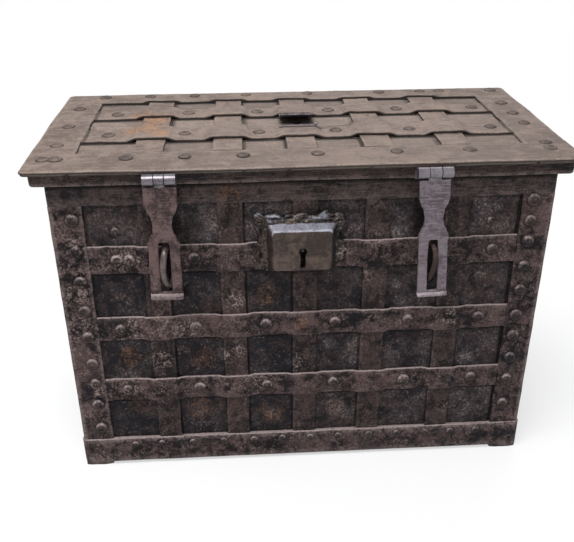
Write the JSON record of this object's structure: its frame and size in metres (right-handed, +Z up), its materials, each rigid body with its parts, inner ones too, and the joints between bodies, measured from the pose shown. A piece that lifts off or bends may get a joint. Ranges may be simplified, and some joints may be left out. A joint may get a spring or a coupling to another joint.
{
  "type": "armada chest",
  "caption": "Iron-bound strongbox with riveted strapwork, hinged lid, front hasps, end handles and a many-bolted lock under the lid.",
  "frame": {"origin": "on the floor, under the middle of the whole chest's box", "axes": "+X to the chest's right along its length, +Y to its back, +Z up; the front with the hasps faces -Y"},
  "size_m": [0.755, 0.4022, 0.5231],
  "materials": {
    "dark_iron": "dark worn iron with rust",
    "lid_iron": "worn brown iron",
    "rusty_iron": "rust-brown iron",
    "worn_steel": "worn bare steel"
  },
  "bodies": {
    "chest": {"front_sheet": "dark_iron", "back_sheet": "dark_iron", "left_sheet": "dark_iron", "right_sheet": "dark_iron", "bottom_sheet": "dark_iron", "rim_flange": "dark_iron", "collar_band": "dark_iron", "plinth_band": "dark_iron", "corner_feet": "dark_iron", "corner_straps": "dark_iron", "front_vertical_straps": "dark_iron", "back_vertical_straps": "dark_iron", "end_vertical_straps": "dark_iron", "front_cross_straps": "dark_iron", "back_cross_straps": "dark_iron", "left_cross_straps": "dark_iron", "right_cross_straps": "dark_iron", "front_rivets": "dark_iron", "back_rivets": "dark_iron", "end_rivets": "dark_iron", "false_lock_case": "rusty_iron", "escutcheon_plate": "rusty_iron", "left_staple": "rusty_iron", "right_staple": "rusty_iron", "body_hinge_leaves": "dark_iron", "hinge_pins": "worn_steel", "handle_lugs": "rusty_iron"},
    "lid": {"lid_sheet": "lid_iron", "lid_border_straps": "lid_iron", "lid_skirt": "lid_iron", "lid_long_straps": "lid_iron", "lid_cross_straps": "lid_iron", "lid_rivets": "lid_iron", "lid_hinge_leaves": "dark_iron", "hasp_leaves": "worn_steel", "hasp_pins": "worn_steel", "cover_hinge": "lid_iron", "keyhole_spring": "worn_steel", "lock_plate": "dark_iron", "bolt_springs": "worn_steel", "bolt_guides": "worn_steel", "lock_bar_guides": "worn_steel", "lever_pivot": "worn_steel", "lock_cover_plate": "worn_steel", "cover_pillars": "worn_steel", "key_pin": "worn_steel"},
    "left_hasp": {"left_hasp": "rusty_iron"},
    "right_hasp": {"right_hasp": "rusty_iron"},
    "keyhole_cover": {"keyhole_cover": "lid_iron"},
    "left_handle": {"left_handle": "rusty_iron"},
    "right_handle": {"right_handle": "rusty_iron"},
    "lock_bar": {"lock_bar": "worn_steel", "right_bolts": "worn_steel"},
    "front_bolts": {"front_bolts": "worn_steel"},
    "back_bolts": {"back_bolts": "worn_steel"},
    "left_bolts": {"left_bolts": "worn_steel"},
    "reversing_lever": {"reversing_lever": "worn_steel"}
  },
  "joints": [
    {"name": "lid_hinge", "type": "hinge", "parent": "chest", "child": "lid", "pos_m": [0, 0.1851, 0.476], "axis": [-1, 0, 0], "range_deg": [0, 100]},
    {"name": "left_hasp_hinge", "type": "hinge", "parent": "lid", "child": "left_hasp", "pos_m": [-0.19355, -0.1856, 0.497], "axis": [-1, 0, 0], "range_deg": [0, 175]},
    {"name": "right_hasp_hinge", "type": "hinge", "parent": "lid", "child": "right_hasp", "pos_m": [0.16905, -0.1856, 0.497], "axis": [-1, 0, 0], "range_deg": [0, 175]},
    {"name": "keyhole_cover_hinge", "type": "hinge", "parent": "lid", "child": "keyhole_cover", "pos_m": [0, 0.05345, 0.5076], "axis": [-1, 0, 0], "range_deg": [-22, 80]},
    {"name": "left_handle_hinge", "type": "hinge", "parent": "chest", "child": "left_handle", "pos_m": [-0.3645, 0.0091, 0.3], "axis": [0, 1, 0], "range_deg": [0, 90]},
    {"name": "right_handle_hinge", "type": "hinge", "parent": "chest", "child": "right_handle", "pos_m": [0.3645, 0.0091, 0.3], "axis": [0, -1, 0], "range_deg": [0, 90]},
    {"name": "lock_bar_slide", "type": "slide", "parent": "lid", "child": "lock_bar", "axis": [1, 0, 0], "range_m": [0, 0.016]},
    {"name": "front_bolts_slide", "type": "slide", "parent": "lid", "child": "front_bolts", "axis": [0, -1, 0], "range_m": [0, 0.016]},
    {"name": "back_bolts_slide", "type": "slide", "parent": "lid", "child": "back_bolts", "axis": [0, 1, 0], "range_m": [0, 0.016]},
    {"name": "left_bolts_slide", "type": "slide", "parent": "lid", "child": "left_bolts", "axis": [-1, 0, 0], "range_m": [0, 0.016]},
    {"name": "reversing_lever_pivot", "type": "hinge", "parent": "lid", "child": "reversing_lever", "pos_m": [-0.232, 0.0091, 0.4805], "axis": [0, 0, -1], "range_deg": [0, 35.5]}
  ],
  "couplings": [
    {"joint": "front_bolts_slide", "follows": "lock_bar_slide", "ratio": 1},
    {"joint": "back_bolts_slide", "follows": "lock_bar_slide", "ratio": 1},
    {"joint": "left_bolts_slide", "follows": "lock_bar_slide", "ratio": 1},
    {"joint": "reversing_lever_pivot", "follows": "lock_bar_slide", "rad_per_m": 38.713}
  ]
}
